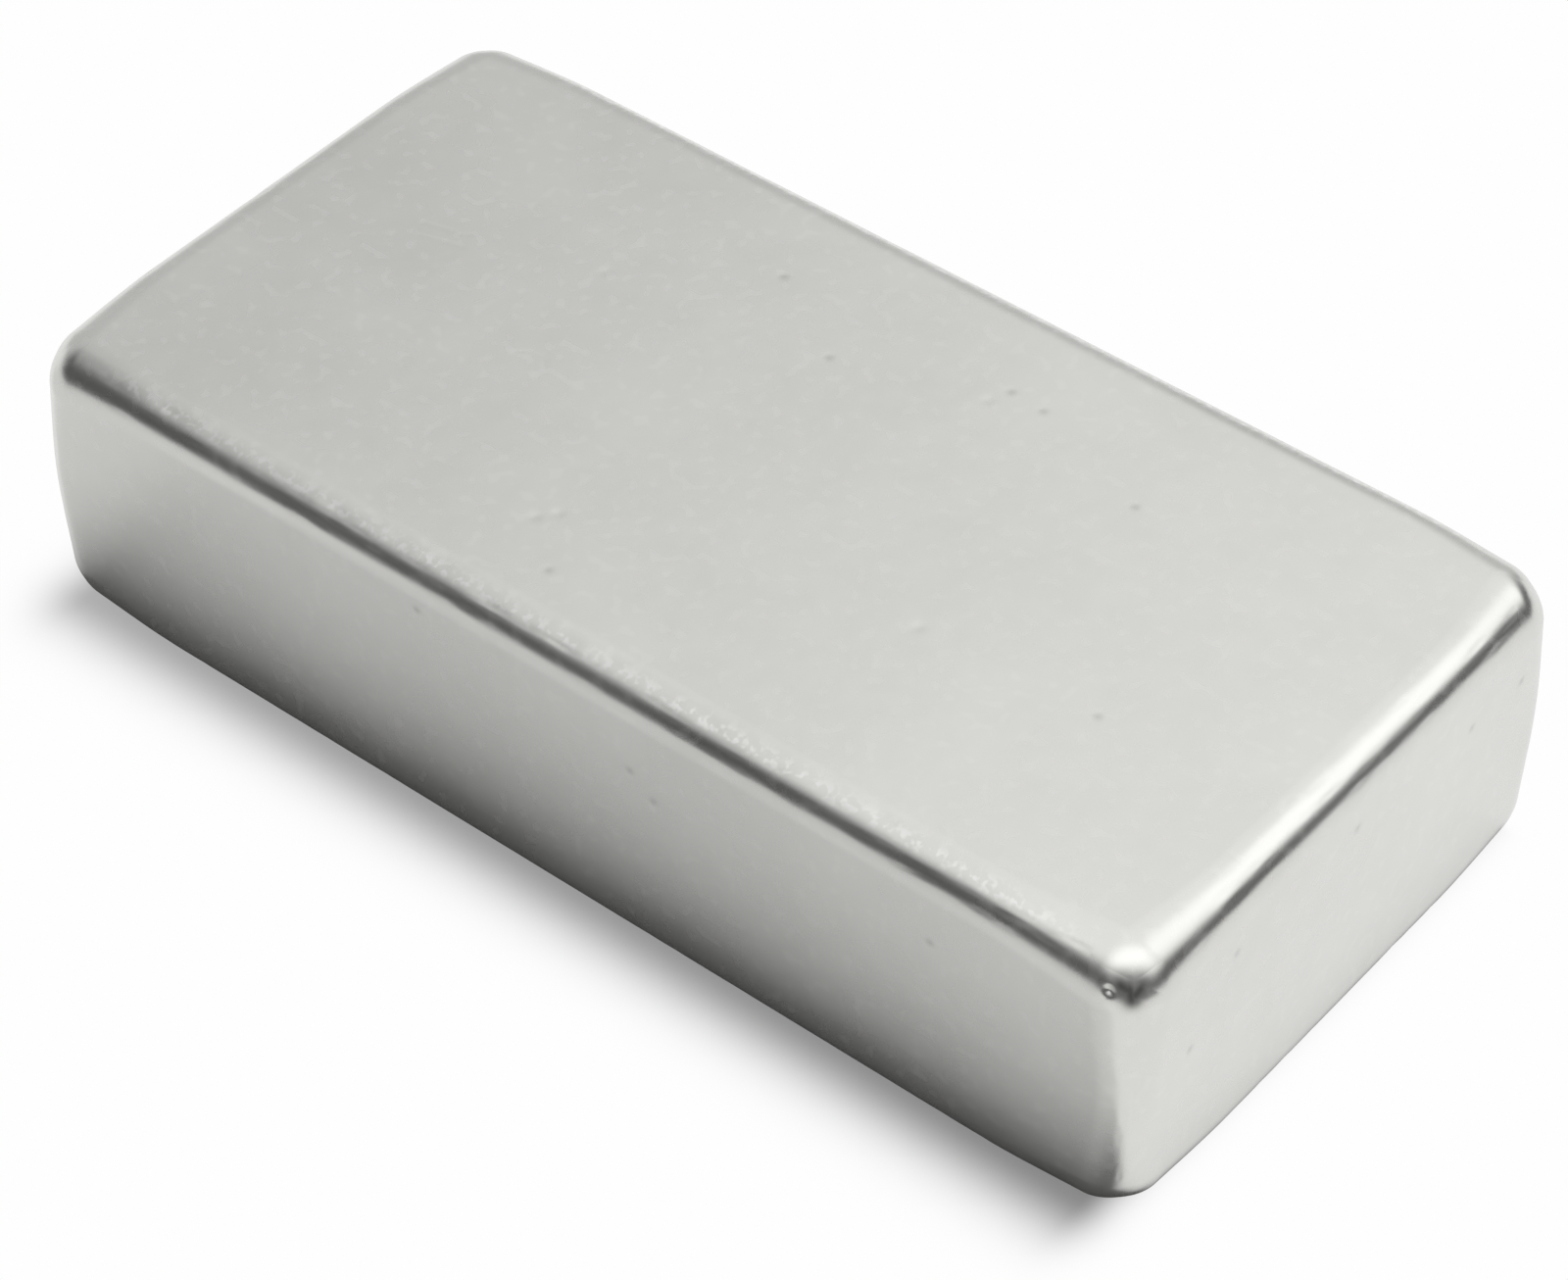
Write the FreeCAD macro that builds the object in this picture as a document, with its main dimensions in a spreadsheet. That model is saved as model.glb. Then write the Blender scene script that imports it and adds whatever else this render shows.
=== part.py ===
"""Neodymium block magnet: one sintered, tumbled and plated block, in millimetres.

The block rests on one pole face. X runs along its length, Y across its width and Z through its
thickness, which is also the direction it is magnetised in. The origin is the middle of the lower
pole face. Tumbling wears a block's eight corners far rounder than its twelve edges, so the rounding
of every edge is largest at its two corners and shrinks towards the middle of the edge.
"""
import FreeCAD, Part
import os
import Sketcher

# Driving sizes, as a name, a value and what it is.
SIZES = (
    ("block_length", 40.0, "longest side, along X"),
    ("block_width", 20.0, "side across, along Y"),
    ("block_height", 10.0, "thickness between the two pole faces"),
    ("edge_radius", 1.2, "rounding in the middle of an edge"),
    ("corner_radius", 1.7, "rounding where three edges meet"),
    ("wear_length", 5.0, "run from a corner over which the rounding of a long edge shrinks"),
)
SIDES = 4
RUNS = 3
NEAR = 1e-6

Vector = FreeCAD.Vector
doc = FreeCAD.newDocument("magnet")


def make_sheet():
    """The spreadsheet of driving sizes, one row each: name, value, meaning."""
    sheet = doc.addObject("Spreadsheet::Sheet", "sizes")
    for row, (name, value, meaning) in enumerate(SIZES, start=1):
        sheet.set("A%d" % row, name)
        sheet.set("B%d" % row, str(value))
        sheet.set("C%d" % row, meaning)
        sheet.setAlias("B%d" % row, name)
    doc.recompute()
    return sheet


def origin_plane(body, role):
    """One of the body's own origin planes."""
    for feature in body.Origin.OriginFeatures:
        if feature.Role == role:
            return feature
    raise RuntimeError("no origin plane " + role)


def side_runs(start, end, wear):
    """A straight side in three runs: worn, middle, worn."""
    along = (end - start).normalize()
    points = (start, start + along * wear, end - along * wear, end)
    return [Part.LineSegment(points[run], points[run + 1]) for run in range(RUNS)]


def draw_outline(sketch, sheet):
    """The block seen from above: four straight sides of three runs each, anticlockwise."""
    half_x = sheet.block_length / 2
    half_y = sheet.block_width / 2
    corners = (Vector(-half_x, -half_y), Vector(half_x, -half_y), Vector(half_x, half_y), Vector(-half_x, half_y))
    for side in range(SIDES):
        start, end = corners[side], corners[(side + 1) % SIDES]
        sketch.addGeometry(side_runs(start, end, sheet.wear_length), False)


def constrain_outline(sketch, sheet):
    """Ties the sides together, centres them and binds the outline's three sizes to the sheet."""
    count = SIDES * RUNS
    rules = []
    for index in range(count):
        level = "Horizontal" if index // RUNS % 2 == 0 else "Vertical"
        rules.append(Sketcher.Constraint(level, index))
        rules.append(Sketcher.Constraint("Coincident", index, 2, (index + 1) % count, 1))
    worn = [index for index in range(count) if index % RUNS != 1]
    for index in worn[1:]:
        rules.append(Sketcher.Constraint("Equal", worn[0], index))
    # The first run of each side. Opposite corners of the outline lie either side of the origin.
    south, east, north, west = range(0, count, RUNS)
    rules.append(Sketcher.Constraint("Symmetric", south, 1, north, 1, -1, 1))
    sketch.addConstraint(rules)
    bind(sketch, sheet, "wear_length", "Distance", worn[0])
    bind(sketch, sheet, "block_length", "DistanceX", south, 1, east, 1)
    bind(sketch, sheet, "block_width", "DistanceY", east, 1, north, 1)


def bind(sketch, sheet, size, kind, *places):
    """Adds a dimension to the sketch and ties it to the sheet's cell for that size."""
    index = sketch.addConstraint(Sketcher.Constraint(kind, *places, float(sheet.get(size))))
    sketch.renameConstraint(index, size)
    sketch.setExpression("Constraints." + size, "sizes." + size)


def add_half(body, sheet, name, base):
    """Half of the thickness, standing on an outline of its own at a height given by base."""
    sketch = body.newObject("Sketcher::SketchObject", name + "_plan")
    sketch.AttachmentSupport = [(origin_plane(body, "XY_Plane"), "")]
    sketch.MapMode = "FlatFace"
    sketch.setExpression("AttachmentOffset.Base.z", base)
    draw_outline(sketch, sheet)
    constrain_outline(sketch, sheet)
    doc.recompute()
    half = body.newObject("PartDesign::Pad", name)
    half.Profile = sketch
    half.setExpression("Length", "sizes.block_height / 2")
    # Faces in one plane stay apart, so that each run of an edge can have a rounding of its own.
    half.Refine = False
    body.Tip = half
    doc.recompute()


def make_blank(sheet):
    """The sawn block, before tumbling. Each upright edge is in two runs and each level one in three.

    Every run of an edge points the same way, so that its two roundings are given in that order.
    """
    body = doc.addObject("PartDesign::Body", "blank")
    body.Label = "sawn_blank"
    add_half(body, sheet, "lower_half", "0 mm")
    add_half(body, sheet, "upper_half", "sizes.block_height / 2")
    return body


def limits_met(point, box):
    """How many of a point's three coordinates lie on the blank's own limits."""
    gaps = (point.x - box.XMin, point.x - box.XMax, point.y - box.YMin, point.y - box.YMax,
            point.z - box.ZMin, point.z - box.ZMax)
    return sum(abs(gap) < NEAR for gap in gaps)


def tumble(blank, sheet):
    """The finished block. Its edges have two coordinates on the limits, and its corners three."""
    box = blank.Shape.BoundBox
    edges = []
    for number, edge in enumerate(blank.Shape.Edges, start=1):
        first, last = edge.FirstParameter, edge.LastParameter
        if limits_met(edge.valueAt((first + last) / 2), box) == 2:
            at_corner = [limits_met(edge.valueAt(end), box) == 3 for end in (first, last)]
            radii = [sheet.corner_radius if worn else sheet.edge_radius for worn in at_corner]
            edges.append((number, *radii))
    block = doc.addObject("Part::Fillet", "block")
    block.Label = "magnet_block"
    block.Base = blank
    block.Edges = edges
    block.Placement = FreeCAD.Placement(Vector(0, 0, 0), FreeCAD.Rotation())
    doc.recompute()
    return block


def check(pieces):
    """Stops if any object failed or a piece is not one valid solid."""
    for thing in doc.Objects:
        if "Invalid" in thing.State or "Error" in thing.State:
            raise RuntimeError(thing.Label + " failed")
    for piece in pieces:
        shape = piece.Shape
        if shape.isNull() or not shape.isValid() or len(shape.Solids) != 1:
            raise RuntimeError(piece.Label + " is not one valid solid")


def write(pieces):
    """One STEP file for each piece, named by its label."""
    os.makedirs("parts", exist_ok=True)
    for piece in pieces:
        piece.Shape.exportStep("parts/%s.step" % piece.Label)
        print("%s %.3f mm3, %d faces" % (piece.Label, piece.Shape.Volume, len(piece.Shape.Faces)))


sheet = make_sheet()
blank = make_blank(sheet)
magnet = tumble(blank, sheet)
check([magnet])
write([magnet])
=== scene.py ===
"""A nickel-plated neodymium block magnet on a white table, lit by a soft light tent.

The block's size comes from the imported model. Its mesh is a fine grid on the sawn block's six faces,
finer still around each mark, which is then rounded over as tumbling rounds it and dented where the
plating shows a mark. Lengths are in metres, unless a name or a docstring says otherwise.
"""

import logging
import math
from dataclasses import dataclass
from enum import Enum
from typing import Iterable, Optional, Sequence, Union

import bmesh
import bpy
import numpy as np
from mathutils import Matrix, Vector


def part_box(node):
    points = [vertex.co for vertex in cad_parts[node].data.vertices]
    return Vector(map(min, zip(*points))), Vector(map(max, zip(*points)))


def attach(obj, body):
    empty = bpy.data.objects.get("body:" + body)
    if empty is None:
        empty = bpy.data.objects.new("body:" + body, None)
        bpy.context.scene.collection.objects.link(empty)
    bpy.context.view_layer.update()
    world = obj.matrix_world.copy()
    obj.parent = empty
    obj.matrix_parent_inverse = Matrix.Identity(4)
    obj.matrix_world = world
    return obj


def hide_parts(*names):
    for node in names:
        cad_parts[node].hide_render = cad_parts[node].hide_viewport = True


MM = 0.001
PHOTO_WIDTH = 1600
SENSOR_WIDTH_MM = 36.0
CAD_NODE = "magnet_block"
CAD_BODY = "root"
MAGNET = "block_magnet"
STAIN = "stain"
RUB = "rub"
WHITE = (1.0, 1.0, 1.0, 1.0)
NOISE_MIDDLE = 0.5

Point = tuple[float, float, float]
Spot = tuple[float, float]
log = logging.getLogger("magnet")


class Signal:
    """One value in a shader. Python's own operators on it add the nodes that work them out."""

    def __init__(self, sheet: "NodeSheet", socket: bpy.types.NodeSocket) -> None:
        """Wraps a socket of a node on that sheet."""
        self.sheet = sheet
        self.socket = socket

    def math(self, operation: str, *others: "Value") -> "Signal":
        """A Math node with this value first and the others after it."""
        return self.sheet.math(operation, self, *others)

    def __add__(self, other: "Value") -> "Signal":
        """This value plus another."""
        return self.math("ADD", other)

    def __sub__(self, other: "Value") -> "Signal":
        """This value less another."""
        return self.math("SUBTRACT", other)

    def __rsub__(self, other: "Value") -> "Signal":
        """Another value less this one."""
        return self.sheet.math("SUBTRACT", other, self)

    def __mul__(self, other: "Value") -> "Signal":
        """This value times another."""
        return self.math("MULTIPLY", other)

    def __truediv__(self, other: "Value") -> "Signal":
        """This value divided by another."""
        return self.math("DIVIDE", other)

    def __pow__(self, power: float) -> "Signal":
        """This value raised to a power."""
        return self.math("POWER", power)

    def __neg__(self) -> "Signal":
        """This value with its sign turned."""
        return self.math("MULTIPLY", -1.0)

    __radd__ = __add__
    __rmul__ = __mul__

    def exp(self) -> "Signal":
        """The number e raised to this value."""
        return self.math("EXPONENT")

    def at_least(self, other: "Value") -> "Signal":
        """The larger of this value and another."""
        return self.math("MAXIMUM", other)

    def at_most(self, other: "Value") -> "Signal":
        """The smaller of this value and another."""
        return self.math("MINIMUM", other)

    def clamped(self) -> "Signal":
        """This value held between 0 and 1."""
        return self.at_least(0.0).at_most(1.0)

    def step(self, start: float, end: float) -> "Signal":
        """0 below start and 1 above end, with a smooth rise between."""
        inputs = {"Value": self, "From Min": start, "From Max": end}
        return self.sheet.add("MapRange", {"interpolation_type": "SMOOTHSTEP"}, inputs)


Value = Union[Signal, float]
Colour = Union[Signal, Sequence[float]]


class NodeSheet:
    """The node tree of one material or of the world."""

    def __init__(self, tree: bpy.types.NodeTree) -> None:
        """Takes the tree and clears it."""
        self.tree = tree
        tree.nodes.clear()

    @classmethod
    def of_material(cls, name: str) -> tuple["NodeSheet", bpy.types.Material]:
        """Makes an empty material.

        Args:
            name: The material's name.

        Returns:
            The sheet of its nodes, and the material.
        """
        material = bpy.data.materials.new(name)
        material.use_nodes = True
        return cls(material.node_tree), material

    def add(self, kind: str, settings: Optional[dict] = None, inputs: Optional[dict] = None,
            output: Union[str, int] = 0) -> Signal:
        """Adds one node.

        Args:
            kind: The node's type, without its ShaderNode prefix.
            settings: The node's own properties, set before its sockets.
            inputs: A value or a Signal for each input, by the socket's identifier or number.
            output: The output to return, by name or number.

        Returns:
            The chosen output, or the first input of a node that has no outputs.
        """
        node = self.tree.nodes.new("ShaderNode" + kind)
        for name, value in (settings or {}).items():
            setattr(node, name, value)
        by_identifier = {socket.identifier: socket for socket in node.inputs}
        for key, value in (inputs or {}).items():
            socket = node.inputs[key] if isinstance(key, int) else by_identifier[key]
            if isinstance(value, Signal):
                self.tree.links.new(value.socket, socket)
            else:
                socket.default_value = value
        return Signal(self, node.outputs[output] if len(node.outputs) else node.inputs[0])

    def math(self, operation: str, *values: Value) -> Signal:
        """A Math node of that operation on those values."""
        return self.add("Math", {"operation": operation}, dict(enumerate(values)))

    def vector(self, operation: str, *values: Union[Signal, Point],
               output: Union[str, int] = 0) -> Signal:
        """A Vector Math node of that operation on those vectors."""
        return self.add("VectorMath", {"operation": operation}, dict(enumerate(values)), output)

    def blend(self, share: Value, low: Colour, high: Colour) -> Signal:
        """Mixes two colours.

        Args:
            share: How much of the second colour shows, from 0 to 1.
            low: The colour at 0.
            high: The colour at 1.

        Returns:
            The mixed colour.
        """
        inputs = {"Factor_Float": share, "A_Color": low, "B_Color": high}
        return self.add("Mix", {"data_type": "RGBA"}, inputs, 2)

    def coordinates(self) -> Signal:
        """The object's own coordinates."""
        return self.add("TexCoord", output="Object")

    def axis(self, vector: Signal, name: str) -> Signal:
        """One component of a vector."""
        return self.add("SeparateXYZ", None, {0: vector}, name)

    def towards(self, way: Signal, aim: Vector) -> Signal:
        """How nearly a direction points along the aim, from -1 to 1."""
        return self.vector("DOT_PRODUCT", way, tuple(aim), output="Value")

    def attribute(self, name: str) -> Signal:
        """A value that the mesh holds at each of its points."""
        return self.add("Attribute", {"attribute_name": name}, output="Fac")

    def noise(self, coordinates: Signal, size: float, detail: float = 2.0) -> Signal:
        """Smooth noise.

        Args:
            coordinates: Where each point is.
            size: About how wide one blotch is.
            detail: How many finer layers are added.

        Returns:
            The noise, mostly between 0.3 and 0.7.
        """
        inputs = {"Vector": coordinates, "Scale": 1 / size, "Detail": detail}
        return self.add("TexNoise", None, inputs)

    def finish(self, surface: Signal) -> None:
        """Shows that shader on the surface."""
        self.add("OutputMaterial", None, {"Surface": surface})


def in_scene(name: str, data: bpy.types.ID) -> bpy.types.Object:
    """Makes an object and links it to the scene.

    Args:
        name: The object's name.
        data: Its mesh or camera.

    Returns:
        The object.
    """
    made = bpy.data.objects.new(name, data)
    bpy.context.scene.collection.objects.link(made)
    return made


@dataclass(frozen=True)
class NickelPlate:
    """Satin nickel plating over a tumbled sintered block.

    Clouds, orange peel and flecks each shift its tone between dull and bright.
    """

    bright: tuple[float, ...] = (0.765, 0.765, 0.740, 1.0)
    dull: tuple[float, ...] = (0.685, 0.685, 0.660, 1.0)
    # The dark colour of the pits, and of the dark patches painted by the near corner.
    stained: tuple[float, ...] = (0.10, 0.10, 0.095, 1.0)
    rubbed: tuple[float, ...] = (0.84, 0.84, 0.82, 1.0)
    tone: float = 0.47
    roughness: float = 0.27
    cloud_size: float = 6.0 * MM
    cloud_tone: float = 1.1
    cloud_roughness: float = 0.10
    peel_size: float = 1.1 * MM
    peel_tone: float = 0.4
    peel_depth: float = 0.0042 * MM
    fleck_size: float = 0.40 * MM
    fleck_edges: tuple[float, float] = (0.56, 0.76)
    fleck_tone: float = 0.28
    fleck_roughness: float = 0.03
    rub_size: float = 0.24 * MM
    rub_edges: tuple[float, float] = (0.46, 0.64)
    stain_roughness: float = 0.25

    def material(self) -> bpy.types.Material:
        """Builds the plating.

        Returns:
            Its material.
        """
        sheet, material = NodeSheet.of_material("satin_nickel")
        place = sheet.coordinates()
        clouds = sheet.noise(place, self.cloud_size) - NOISE_MIDDLE
        peel = sheet.noise(place, self.peel_size, detail=1.0)
        flecks = sheet.noise(place, self.fleck_size, detail=0.0).step(*self.fleck_edges)
        rub_flecks = sheet.noise(place, self.rub_size, detail=1.0).step(*self.rub_edges)
        rub = sheet.attribute(RUB) * rub_flecks
        stain = sheet.attribute(STAIN)
        tone = self.tone + self.cloud_tone * clouds + self.peel_tone * (peel - NOISE_MIDDLE)
        tone = (tone + self.fleck_tone * flecks).clamped()
        plate = sheet.blend(rub, sheet.blend(tone, self.dull, self.bright), self.rubbed)
        roughness = self.roughness + self.cloud_roughness * clouds
        roughness = roughness + self.fleck_roughness * flecks + self.stain_roughness * stain
        bump = {"Strength": 1.0, "Distance": 1.0, "Height": peel * self.peel_depth}
        inputs = {
            "Base Color": sheet.blend(stain, plate, self.stained),
            "Metallic": 1.0,
            "Roughness": roughness,
            "Normal": sheet.add("Bump", None, bump),
        }
        sheet.finish(sheet.add("BsdfPrincipled", None, inputs))
        return material


class MarkKind(Enum):
    """What a mark on the plating is."""

    PIT = (0.21, 3, 0.125 * MM, 0.010 * MM)
    SPECK = (0.0, 3, 0.17 * MM, 0.010 * MM)
    SCRATCH = (0.0, 4, 0.06 * MM, 0.004 * MM)
    CHIP = (0.0, 2, 0.16 * MM, 0.065 * MM)
    # Near-black patches painted into the plating, which hardly dent it.
    DARK_PATCH = (0.92, 2, 0.40 * MM, 0.004 * MM)

    def __init__(self, stain: float, cuts: int, width: float, depth: float) -> None:
        """Keeps the kind's numbers.

        Args:
            stain: How far it darkens the metal on its line, from 0 to 1.
            cuts: How many cuts the edges of the quads under it need.
            width: How far from its line it has faded to about a third.
            depth: How deep it is on its line.
        """
        self.stain = stain
        self.cuts = cuts
        self.width = width
        self.depth = depth

    def along(self, lines: Iterable[tuple[Point, ...]]) -> list["Mark"]:
        """One mark of this kind, width and depth along each of those lines."""
        return [Mark(self, points, self.width, self.depth) for points in lines]


@dataclass(frozen=True)
class Mark:
    """One dent or scratch: a line of points on the sawn block, with a rounded groove along it."""

    kind: MarkKind
    points: tuple[Point, ...]
    width: float
    depth: float

    def distance(self, places: np.ndarray) -> np.ndarray:
        """How far each place is from the mark's line.

        Args:
            places: Points on the sawn block, one to a row.

        Returns:
            One distance for each row.
        """
        line = np.array(self.points)
        if len(line) == 1:
            return np.linalg.norm(places - line[0], axis=1)
        best = np.full(len(places), np.inf)
        for start, end in zip(line[:-1], line[1:]):
            along = end - start
            share = np.clip((places - start) @ along / (along @ along), 0.0, 1.0)
            nearest = start + share[:, None] * along
            best = np.minimum(best, np.linalg.norm(places - nearest, axis=1))
        return best

    def strength(self, places: np.ndarray) -> np.ndarray:
        """How much of the mark each place has, from 0 far away to 1 on its line."""
        return np.exp(-(self.distance(places) / self.width) ** 2)


@dataclass(frozen=True)
class MarkPlaces:
    """Where the marks that show on the plating are, all in millimetres.

    A spot on the top is X and Y off its middle. A spot on the front or the end is X or Y off the
    middle, then the height above the foot. A point by the corner is how far it is inside the end,
    the front and the top.
    """

    pits_on_top: tuple[Spot, ...] = (
        (-1.4, 4.1), (3.6, 6.2), (4.8, 6.1), (9.2, 4.5), (-4.7, 6.1), (-1.8, -7.7), (13.3, -2.8),
    )
    pits_on_front: tuple[Spot, ...] = ((3.0, 7.0), (3.8, 6.3), (-4.7, 8.4), (13.3, 7.2))
    pits_on_end: tuple[Spot, ...] = ((-5.6, 7.7), (5.5, 7.3), (8.0, 7.2), (-7.5, 5.6), (-0.1, 7.9))
    specks: tuple[Spot, ...] = ((3.3, 5.5), (-3.5, -6.3), (-3.1, -5.8), (-8.9, 3.0), (7.5, -3.1))
    scratches: tuple[tuple[Spot, ...], ...] = (
        ((-8.6, -1.4), (-8.2, -1.1), (-7.7, -1.1), (-7.3, -1.5)),
        ((-14.6, 1.3), (-13.1, 1.7)),
        ((-14.3, 0.8), (-12.9, 1.2)),
    )
    chip: Point = (1.05, 0.0, 0.83)
    # Near-black patches painted just below the top of the near corner, each a line between two
    # points.
    dark_patches: tuple[tuple[Point, Point], ...] = (
        ((0.25, 0.0, 0.50), (0.18, 0.0, 0.92)),
        ((0.66, 0.0, 0.50), (0.25, 0.0, 0.58)),
        ((0.0, 0.32, 0.55), (0.0, 0.05, 0.70)),
    )


@dataclass
class MagnetBlock:
    """The magnet: one sintered block, tumbled, then plated."""

    low: Vector
    high: Vector
    finish: NickelPlate = NickelPlate()
    places: MarkPlaces = MarkPlaces()
    edge_radius: float = 1.2 * MM
    corner_radius: float = 1.7 * MM
    wear_length: float = 5.0 * MM
    shoulder: float = 2.0 * MM
    fine_step: float = 0.08 * MM
    coarse_step: float = 0.36 * MM
    refined_widths: float = 2.0
    dents_per_metre: float = 4000.0
    dent_insets: tuple[float, float] = (0.1 * MM, 0.8 * MM)
    dent_widths: tuple[float, float] = (0.09 * MM, 0.16 * MM)
    dent_depths_in_widths: tuple[float, float] = (0.04, 0.14)
    rub_inset: float = 0.52 * MM
    rub_width: float = 0.30 * MM
    seed: int = 11

    def __post_init__(self) -> None:
        """Works out the block's middle and half sizes."""
        low, high = np.array(self.low), np.array(self.high)
        self.middle = (low + high) / 2
        self.half = (high - low) / 2

    def on_top(self, *spots: Spot) -> tuple[Point, ...]:
        """Points on the upper pole face, from spots on the top."""
        return tuple((x * MM, y * MM, self.half[2]) for x, y in spots)

    def on_front(self, *spots: Spot) -> tuple[Point, ...]:
        """Points on the long side that faces -Y, from spots on the front."""
        return tuple((x * MM, -self.half[1], z * MM - self.half[2]) for x, z in spots)

    def on_end(self, *spots: Spot) -> tuple[Point, ...]:
        """Points on the end that faces +X, from spots on the end."""
        return tuple((self.half[0], y * MM, z * MM - self.half[2]) for y, z in spots)

    def by_corner(self, *insets: Point) -> tuple[Point, ...]:
        """Points by the upper corner between front and end, from how far inside they are."""
        x, y, z = self.half
        return tuple((x - end * MM, front * MM - y, z - top * MM) for end, front, top in insets)

    def marks(self) -> list[Mark]:
        """The marks that show on the plating.

        Returns:
            The pits, specks and scratches, and the chip and the painted dark patches by the corner.
        """
        pits = [self.on_top(spot) for spot in self.places.pits_on_top]
        pits += [self.on_front(spot) for spot in self.places.pits_on_front]
        pits += [self.on_end(spot) for spot in self.places.pits_on_end]
        return [
            *MarkKind.PIT.along(pits),
            *MarkKind.SPECK.along(self.on_top(spot) for spot in self.places.specks),
            *MarkKind.SCRATCH.along(self.on_top(*spots) for spots in self.places.scratches),
            *MarkKind.CHIP.along([self.by_corner(self.places.chip)]),
            # Near-black patches painted by the corner; they barely dent the plating.
            *MarkKind.DARK_PATCH.along(self.by_corner(*insets) for insets in self.places.dark_patches),
        ]

    def tumbling_dents(self) -> list[Mark]:
        """The tiny dents that tumbling leaves along the shoulders of all twelve edges.

        Returns:
            The dents, the same ones each time.
        """
        rng = np.random.default_rng(self.seed)
        dents = []
        for axis in range(3):
            across = [other for other in range(3) if other != axis]
            count = round(2 * self.half[axis] * self.dents_per_metre)
            for sides in ((-1, -1), (-1, 1), (1, -1), (1, 1)):
                for _ in range(count):
                    place = np.zeros(3)
                    place[axis] = rng.uniform(-1, 1) * (self.half[axis] - self.shoulder)
                    insets = np.array([0.0, rng.uniform(*self.dent_insets)])
                    rng.shuffle(insets)
                    for other, side, inset in zip(across, sides, insets):
                        place[other] = side * (self.half[other] - inset)
                    width = rng.uniform(*self.dent_widths)
                    depth = rng.uniform(*self.dent_depths_in_widths) * width
                    dents.append(Mark(MarkKind.SPECK, (tuple(place),), width, depth))
        return dents

    def lines(self, half: float) -> np.ndarray:
        """Where the grid's lines cross one axis: close together at both ends, and wider between.

        Args:
            half: Half of the block's size on that axis.

        Returns:
            The lines, from -half to half.
        """
        inner = half - self.shoulder
        fine = np.linspace(inner, half, round(self.shoulder / self.fine_step) + 1)
        coarse = np.linspace(-inner, inner, round(2 * inner / self.coarse_step) + 1)
        return np.concatenate([-fine[::-1], coarse[1:-1], fine])

    def sawn_grid(self) -> bmesh.types.BMesh:
        """The six sawn faces as one closed grid of quads.

        Returns:
            The grid, centred on the origin.
        """
        lines = [self.lines(half) for half in self.half]
        shape = tuple(len(line) for line in lines)
        numbers = np.full(shape, -1)
        skin = np.ones(shape, bool)
        skin[1:-1, 1:-1, 1:-1] = False
        numbers[skin] = np.arange(skin.sum())
        places = np.stack([line[index] for line, index in zip(lines, np.nonzero(skin))], axis=1)
        quads = []
        for axis in range(3):
            for end in (0, -1):
                face = np.take(numbers, end, axis=axis)
                ring = [face[:-1, :-1], face[1:, :-1], face[1:, 1:], face[:-1, 1:]]
                # The high face of Y, and the low faces of X and Z, are listed the other way round.
                if (end == 0) != (axis == 1):
                    ring.reverse()
                quads.append(np.stack(ring, axis=-1).reshape(-1, 4))
        mesh = bpy.data.meshes.new("sawn_grid")
        mesh.from_pydata(places.tolist(), [], np.concatenate(quads).tolist())
        grid = bmesh.new()
        grid.from_mesh(mesh)
        bpy.data.meshes.remove(mesh)
        return grid

    def refine(self, grid: bmesh.types.BMesh, marks: Iterable[Mark]) -> None:
        """Divides the grid's quads around each mark.

        Args:
            grid: The sawn grid.
            marks: The marks that need finer quads than the grid has.
        """
        for cuts in sorted({mark.kind.cuts for mark in marks}):
            middles = np.array([face.calc_center_median() for face in grid.faces])
            near = np.zeros(len(middles), bool)
            for mark in marks:
                if mark.kind.cuts == cuts:
                    reach = self.refined_widths * mark.width + self.coarse_step
                    near |= mark.distance(middles) < reach
            grid.faces.ensure_lookup_table()
            edges = {edge for number in np.flatnonzero(near) for edge in grid.faces[number].edges}
            bmesh.ops.subdivide_edges(grid, edges=list(edges), cuts=cuts, use_grid_fill=True)

    def rounded(self, places: np.ndarray) -> tuple[np.ndarray, np.ndarray]:
        """Wears the sawn block's edges round, and its corners rounder.

        Args:
            places: Points on the sawn block.

        Returns:
            The same points on the worn block, and the way out of it at each.
        """
        to_corner = np.sort(self.half - np.abs(places), axis=1)[:, 2]
        worn = np.clip(1 - to_corner / self.wear_length, 0.0, 1.0)
        eased = worn ** 2 * (3 - 2 * worn)
        radius = self.edge_radius + (self.corner_radius - self.edge_radius) * eased
        core = np.clip(places, radius[:, None] - self.half, self.half - radius[:, None])
        away = places - core
        away /= np.linalg.norm(away, axis=1)[:, None]
        return core + away * radius[:, None], away

    def dented(self, sawn: np.ndarray, marks: Iterable[Mark]) -> tuple[np.ndarray, np.ndarray]:
        """Rounds the sawn block and presses the marks into it.

        Args:
            sawn: Points on the sawn block.
            marks: The marks.

        Returns:
            The same points on the finished block, and how stained the plating is at each.
        """
        surface, away = self.rounded(sawn)
        depth = np.zeros(len(sawn))
        stain = np.zeros(len(sawn))
        for mark in marks:
            strength = mark.strength(sawn)
            depth = np.maximum(depth, strength * mark.depth)
            stain = np.maximum(stain, strength * mark.kind.stain)
        return surface - away * depth[:, None] + self.middle, stain

    def rub(self, sawn: np.ndarray) -> np.ndarray:
        """How much the long rims of the two pole faces are rubbed.

        Args:
            sawn: Points on the sawn block.

        Returns:
            One share for each point, from 0 to 1.
        """
        gaps = self.half - np.abs(sawn)
        on_pole_face = np.isclose(gaps[:, 2], 0.0)
        off_the_ends = np.clip(gaps[:, 0] / self.shoulder - 1, 0.0, 1.0)
        by_the_rim = np.exp(-((gaps[:, 1] - self.rub_inset) / self.rub_width) ** 2)
        return on_pole_face * off_the_ends * by_the_rim

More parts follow.
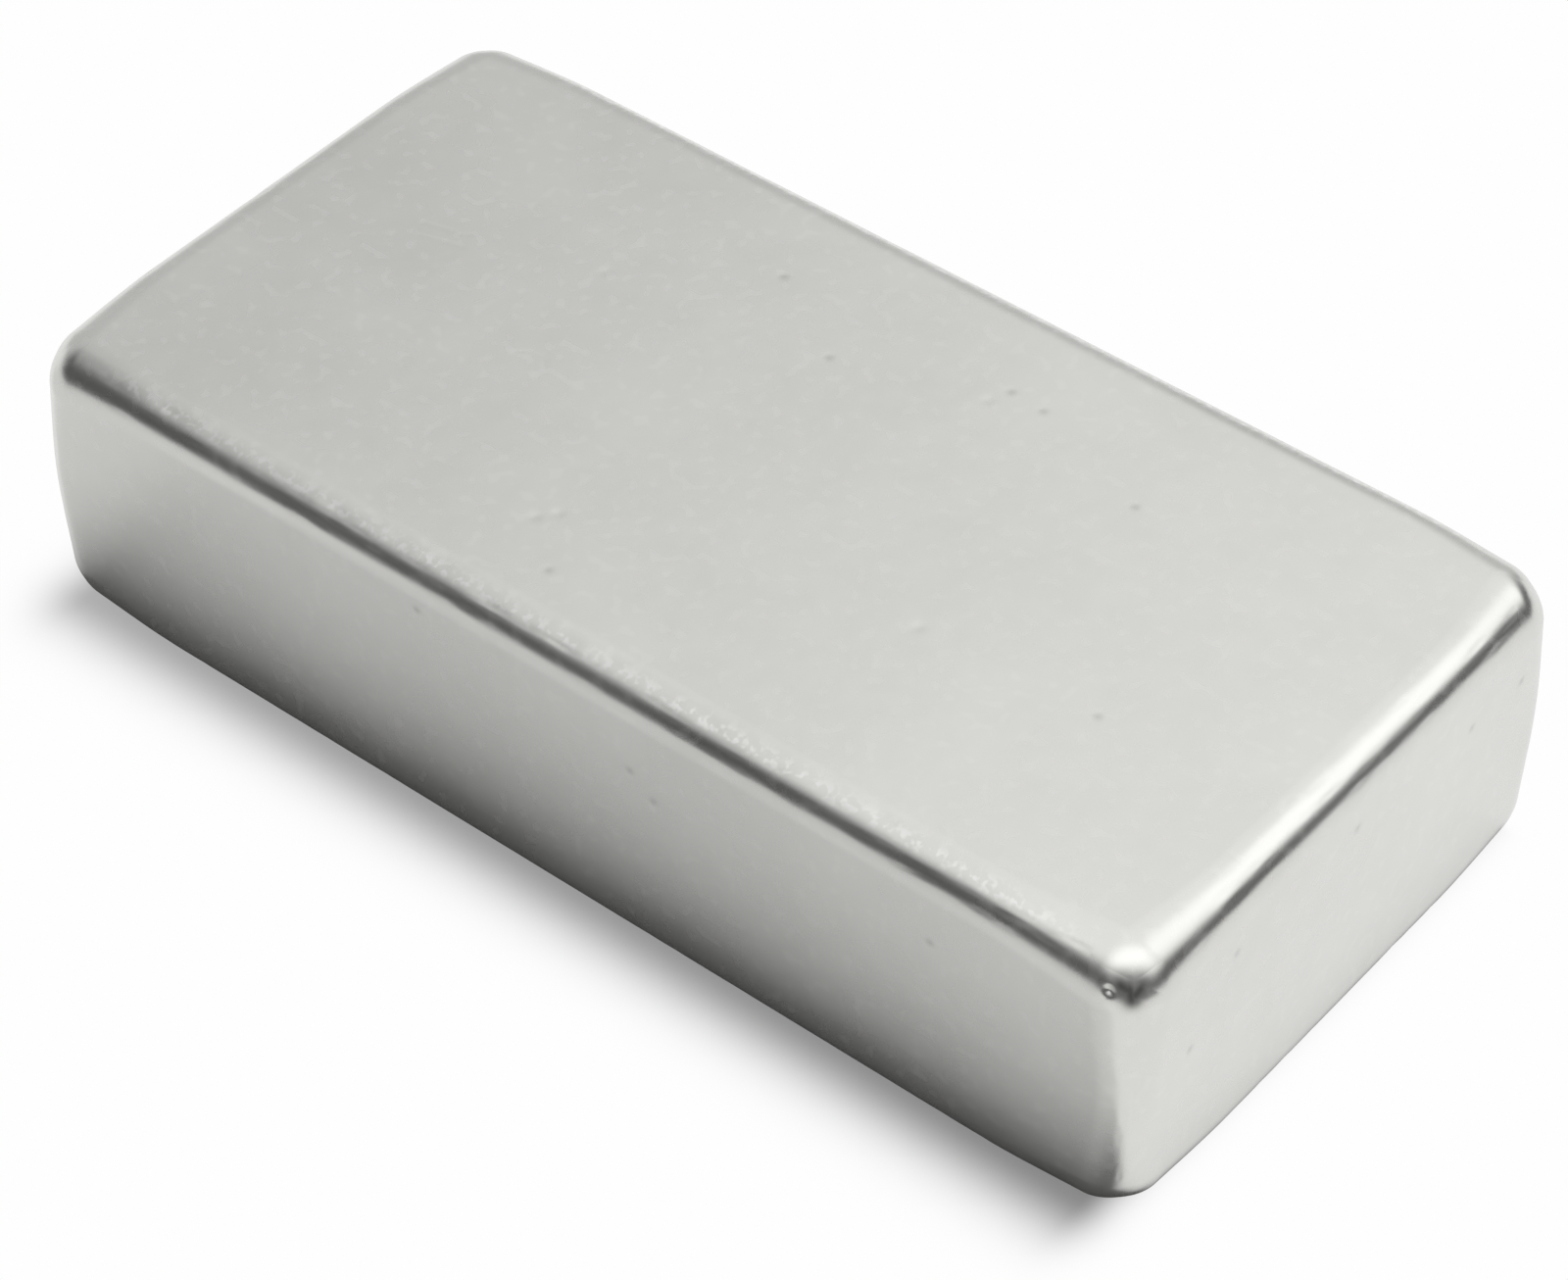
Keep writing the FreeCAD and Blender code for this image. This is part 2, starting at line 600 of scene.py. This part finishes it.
    def build(self) -> bpy.types.Object:
        """Makes the magnet's mesh and dresses it.

        Returns:
            The magnet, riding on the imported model's body in place of its solid.
        """
        marks = self.marks()
        grid = self.sawn_grid()
        self.refine(grid, marks)
        sawn = np.array([vertex.co for vertex in grid.verts])
        final, stain = self.dented(sawn, [*marks, *self.tumbling_dents()])
        mesh = bpy.data.meshes.new(MAGNET)
        grid.to_mesh(mesh)
        grid.free()
        mesh.vertices.foreach_set("co", final.astype(np.float32).ravel())
        for name, shares in ((STAIN, stain), (RUB, self.rub(sawn))):
            values = mesh.attributes.new(name, "FLOAT", "POINT").data
            values.foreach_set("value", shares.astype(np.float32))
        mesh.shade_smooth()
        mesh.materials.append(self.finish.material())
        mesh.update()
        magnet = in_scene(MAGNET, mesh)
        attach(magnet, CAD_BODY)
        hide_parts(CAD_NODE)
        return magnet


def direction(azimuth: float, elevation: float) -> Vector:
    """The way to a point seen from the block.

    Args:
        azimuth: Degrees anticlockwise from +X, seen from above.
        elevation: Degrees above the table.

    Returns:
        A unit vector.
    """
    turn, rise = math.radians(azimuth), math.radians(elevation)
    level = math.cos(rise)
    return Vector((math.cos(turn) * level, math.sin(turn) * level, math.sin(rise)))


@dataclass(frozen=True)
class SoftPatch:
    """A round patch of the tent with soft edges: a softbox behind the cloth, or a gap in it.

    The azimuth and the elevation of its middle are in degrees. The edges are how nearly a direction
    points at the middle where the patch starts and where it reaches its full strength.
    """

    azimuth: float
    elevation: float
    strength: float
    edges: tuple[float, float]

    def share(self, sheet: NodeSheet, way: Signal) -> Signal:
        """How much of the patch each point of the tent has.

        Args:
            sheet: The tent's nodes.
            way: The direction of each point of the tent.

        Returns:
            The patch's strength in its middle, and 0 outside it.
        """
        near = sheet.towards(way, direction(self.azimuth, self.elevation))
        return self.strength * near.step(*self.edges)


@dataclass(frozen=True)
class LightTent:
    """A round white tent that glows brightest high behind the block, over a low dark skirt.

    The skirt is paler behind the block. It has a gap in front of the block's near corner, which the
    rounded corner mirrors as a dark spot.
    """

    radius: float = 0.6
    subdivisions: int = 3
    glow: tuple[float, float] = (54.5, 58.9)
    glow_slope: float = 2.19
    glow_drop: float = 0.652
    glow_limit: float = 1.0
    ceiling: float = 2.134
    ceiling_tilt: float = 2.78
    ceiling_limits: tuple[float, float] = (0.45, 1.05)
    ceiling_edges: tuple[float, float] = (0.40, 0.80)
    skirt: float = 0.085
    skirt_top: tuple[float, float] = (0.24, 0.46)
    skirt_foot: tuple[float, float] = (-0.30, 0.0)
    pale_side: float = 138.0
    pale_edges: tuple[float, float] = (0.40, 0.75)
    pale_skirt: float = 0.61
    gap: SoftPatch = SoftPatch(-38.0, 5.0, 0.85, (0.90, 0.97))
    softboxes: tuple[SoftPatch, ...] = (
        SoftPatch(50.2, 38.4, 0.47, (0.90, 1.0)),
        SoftPatch(-35.0, 46.0, 0.45, (0.70, 0.97)),
    )

    def dome_light(self, sheet: NodeSheet, way: Signal) -> Signal:
        """The light of the tent above its skirt, without the softboxes.

        Args:
            sheet: The tent's nodes.
            way: The direction of each point of the tent.

        Returns:
            The light at that point.
        """
        near_glow = sheet.towards(way, direction(*self.glow))
        glow = (near_glow * self.glow_slope - self.glow_drop).at_most(self.glow_limit)
        lowest, highest = self.ceiling_limits
        above = self.ceiling + self.ceiling_tilt * sheet.axis(way, "X")
        above = above.at_least(lowest).at_most(highest)
        overhead = sheet.axis(way, "Z").step(*self.ceiling_edges)
        return glow.at_least(self.skirt + (above - self.skirt) * overhead)

    def skirt_light(self, sheet: NodeSheet, way: Signal) -> Signal:
        """The light of the tent's skirt, which fades out below the table.

        Args:
            sheet: The tent's nodes.
            way: The direction of each point of the tent.

        Returns:
            The light at that point.
        """
        level = sheet.vector("NORMALIZE", sheet.vector("MULTIPLY", way, (1.0, 1.0, 0.0)))
        pale = sheet.towards(level, direction(self.pale_side, 0.0)).step(*self.pale_edges)
        light = self.skirt + (self.pale_skirt - self.skirt) * pale
        return light * sheet.axis(way, "Z").step(*self.skirt_foot)

    def cloth(self) -> bpy.types.Material:
        """Lights the tent's cloth.

        Returns:
            A material whose glow depends on the direction from the block.
        """
        sheet, material = NodeSheet.of_material("tent_cloth")
        way = sheet.vector("NORMALIZE", sheet.coordinates())
        low = self.skirt_light(sheet, way)
        high = self.dome_light(sheet, way).at_least(low)
        light = low + (high - low) * sheet.axis(way, "Z").step(*self.skirt_top)
        for softbox in self.softboxes:
            light = light + softbox.share(sheet, way)
        light = light * (1.0 - self.gap.share(sheet, way))
        sheet.finish(sheet.add("Emission", None, {"Color": light, "Strength": 1.0}))
        return material

    def build(self) -> bpy.types.Object:
        """Makes the tent.

        Returns:
            The tent, which lights the scene and shows in reflections, but not to the camera.
        """
        shape = bmesh.new()
        bmesh.ops.create_icosphere(shape, subdivisions=self.subdivisions, radius=self.radius)
        mesh = bpy.data.meshes.new("light_tent")
        shape.to_mesh(mesh)
        shape.free()
        mesh.materials.append(self.cloth())
        tent = in_scene("light_tent", mesh)
        tent.visible_camera = False
        return tent


@dataclass(frozen=True)
class Reach:
    """How far inside one side of the block a painted shadow starts to fade, and its length from
    there.
    """

    inset: float
    length: float

    def past(self, distance: Signal) -> Signal:
        """How far a point is past the start, in lengths, from its distance past the side."""
        return (distance + self.inset).at_least(0.0) / self.length


@dataclass(frozen=True)
class PaintedShadow:
    """How a shadow painted on the table reaches out from under the block's four sides."""

    front: Reach
    behind: Reach
    left: Reach
    right: Reach

    def past(self, sides: Sequence[Signal]) -> list[Signal]:
        """How far a point is past each of the four starts, from its distances past the sides."""
        reaches = (self.front, self.behind, self.left, self.right)
        return [reach.past(side) for reach, side in zip(reaches, sides)]


@dataclass(frozen=True)
class Table:
    """A small round table top, white away from a shadow painted around the block.

    Inside that painted shadow the grey paint shows, with the block's real shadow on it. The painted
    shadow that the metal mirrors is longer and softer than the one that the camera sees.
    """

    half_x: float
    half_y: float
    middle_x: float = -130.0 * MM
    radius: float = 240.0 * MM
    corners: int = 96
    below: float = 0.01 * MM
    # The grey paint shows, with its real shading, only inside the painted shadows.
    paint: tuple[float, ...] = (0.16, 0.16, 0.16, 1.0)
    white: float = 0.99
    # Painted shadows around the block: how the table looks to the camera, and how the metal mirrors
    # it.
    seen: PaintedShadow = PaintedShadow(
        front=Reach(0.5 * MM, 1.58 * MM),
        behind=Reach(1.0 * MM, 0.3 * MM),
        left=Reach(1.0 * MM, 1.3 * MM),
        right=Reach(1.8 * MM, 0.9 * MM),
    )
    # How dark the painted shadow that the camera sees gets, a little darker towards the right end.
    seen_depth: float = 0.69
    seen_slope: float = 0.09
    mirrored: PaintedShadow = PaintedShadow(
        front=Reach(0.0, 10.0 * MM),
        behind=Reach(1.0 * MM, 0.6 * MM),
        left=Reach(0.8 * MM, 6.0 * MM),
        right=Reach(0.5 * MM, 1.8 * MM),
    )
    mirrored_corner: Reach = Reach(-0.7 * MM, 0.6 * MM)
    mirrored_share: float = 0.96
    mirrored_start: float = 0.11
    mirrored_reach: float = 0.27
    # Painted shade on the mirrored table in front of the block's middle, and where it eases off.
    front_edges: tuple[float, float] = (0.0, 0.1)
    painted_front_shade: float = 0.27
    corner_edges: tuple[float, float] = (0.0, 1.5)
    left_edges: tuple[float, float] = (0.0, 0.6)
    ease_left: float = 0.30
    ease_right: float = 0.55

    def seen_white(self, sides: Sequence[Signal], along: Signal) -> Signal:
        """How white the table looks to the camera, lower inside a shadow painted around the block.

        Args:
            sides: How far a point is past the block's front, back, left end and right end.
            along: How far right of the block's middle the point is, in half lengths.

        Returns:
            A share, lowest under the block.
        """
        # A shadow painted by position, darkest under the block and a little deeper towards the right.
        front, behind, left, right = self.seen.past(sides)
        away = (left + right) ** 2 + (front + behind) ** 2
        depth = self.seen_depth + self.seen_slope * along
        return 1.0 - depth * (-away).exp()

    def mirrored_white(self, sides: Sequence[Signal], along: Signal) -> Signal:
        """How white the metal mirrors the table, lower inside a shadow painted around the block.

        Args:
            sides: How far a point is past the block's front, back, left end and right end.
            along: How far right of the block's middle the point is, in half lengths.

        Returns:
            A share, lowest under the block, and with painted shade in front of its middle.
        """
        front, behind, left, right = self.mirrored.past(sides)
        corner = self.mirrored_corner.past(sides[-1])
        in_front = front.step(*self.front_edges)
        across = left + right + (corner - right) * in_front
        away = (across ** 2 + (front + behind) ** 2).math("SQRT")
        faded = ((self.mirrored_start - away) / self.mirrored_reach).exp()
        # Painted shade in front of the block's middle, easing off towards the right corner, the left
        # end and the right.
        middle = 1.0 - corner.step(*self.corner_edges)
        middle = middle * (1.0 - self.ease_left * left.step(*self.left_edges))
        middle = middle * (1.0 - self.ease_right * along.clamped())
        dimmed = self.painted_front_shade * in_front * middle
        return (self.mirrored_share * (1.0 - faded) * (1.0 - dimmed)).clamped()

    def material(self) -> bpy.types.Material:
        """Paints the table.

        Returns:
            A grey paint that looks white to camera, glossy and transmitted rays, except inside the
            shadows painted around the block.
        """
        sheet, material = NodeSheet.of_material("white_table")
        place = sheet.coordinates()
        x, y = sheet.axis(place, "X"), sheet.axis(place, "Y")
        sides = (-y - self.half_y, y - self.half_y, -x - self.half_x, x - self.half_x)
        along = x / self.half_x
        seen = sheet.add("LightPath", output="Is Camera Ray")
        mirrored = sheet.add("LightPath", output="Is Glossy Ray")
        mirrored = mirrored + sheet.add("LightPath", output="Is Transmission Ray")
        # White gives way to the grey paint and its real shading inside the painted shadows.
        seen = seen * self.seen_white(sides, along)
        mirrored = mirrored * self.mirrored_white(sides, along)
        paint = sheet.add("BsdfDiffuse", None, {"Color": self.paint})
        glow = sheet.add("Emission", None, {"Color": WHITE, "Strength": self.white})
        sheet.finish(sheet.add("MixShader", None, {0: seen + mirrored, 1: paint, 2: glow}))
        return material

    def build(self) -> bpy.types.Object:
        """Makes the table top.

        Returns:
            One round face just under the block.
        """
        rim = []
        for corner in range(self.corners):
            turn = 2 * math.pi * corner / self.corners
            x = self.middle_x + self.radius * math.cos(turn)
            rim.append((x, self.radius * math.sin(turn), -self.below))
        mesh = bpy.data.meshes.new("table")
        mesh.from_pydata(rim, [], [tuple(range(self.corners))])
        mesh.materials.append(self.material())
        table = in_scene("table", mesh)
        return table


@dataclass(frozen=True)
class PhotoCamera:
    """The camera where the photograph was taken from."""

    place: Point = (64.248 * MM, -78.236 * MM, 100.604 * MM)
    aim: Point = (1.719 * MM, -1.786 * MM, 5.0 * MM)
    roll_degrees: float = -0.217
    focal_pixels: float = 4920.8
    clip_start: float = 10.0 * MM

    def build(self) -> bpy.types.Object:
        """Makes the camera.

        Returns:
            The scene's camera.
        """
        data = bpy.data.cameras.new("photo_camera")
        data.sensor_width = SENSOR_WIDTH_MM
        data.lens = self.focal_pixels / PHOTO_WIDTH * SENSOR_WIDTH_MM
        data.clip_start = self.clip_start
        camera = in_scene("photo_camera", data)
        look = (Vector(self.aim) - Vector(self.place)).to_track_quat("-Z", "Y")
        roll = Matrix.Rotation(math.radians(self.roll_degrees), 4, "Z")
        camera.matrix_world = Matrix.Translation(self.place) @ look.to_matrix().to_4x4() @ roll
        bpy.context.scene.camera = camera
        return camera


def white_world() -> None:
    """Makes everything beyond the tent plain white."""
    world = bpy.data.worlds.new("white_room")
    world.use_nodes = True
    sheet = NodeSheet(world.node_tree)
    glow = sheet.add("Background", None, {"Color": WHITE, "Strength": 1.0})
    sheet.add("OutputWorld", None, {"Surface": glow})
    bpy.context.scene.world = world


def main() -> None:
    """Builds the magnet and the scene around it, and logs what it made."""
    logging.basicConfig(level=logging.INFO, format="%(name)s: %(message)s")
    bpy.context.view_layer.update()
    low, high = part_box(CAD_NODE)
    magnet = MagnetBlock(low, high).build()
    mesh = magnet.data
    log.info("%s: %d faces, %d vertices", magnet.name, len(mesh.polygons), len(mesh.vertices))
    for stage in (LightTent(), Table((high.x - low.x) / 2, (high.y - low.y) / 2), PhotoCamera()):
        log.info("%s is in place", stage.build().name)
    white_world()
    bpy.context.scene.view_settings.view_transform = "Standard"


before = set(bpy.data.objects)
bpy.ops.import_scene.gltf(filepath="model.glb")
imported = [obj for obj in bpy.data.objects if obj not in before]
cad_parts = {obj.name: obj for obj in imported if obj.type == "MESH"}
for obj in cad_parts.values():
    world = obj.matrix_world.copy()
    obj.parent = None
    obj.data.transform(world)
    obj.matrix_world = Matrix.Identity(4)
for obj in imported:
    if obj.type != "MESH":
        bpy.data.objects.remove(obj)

if __name__ == "__main__":
    main()
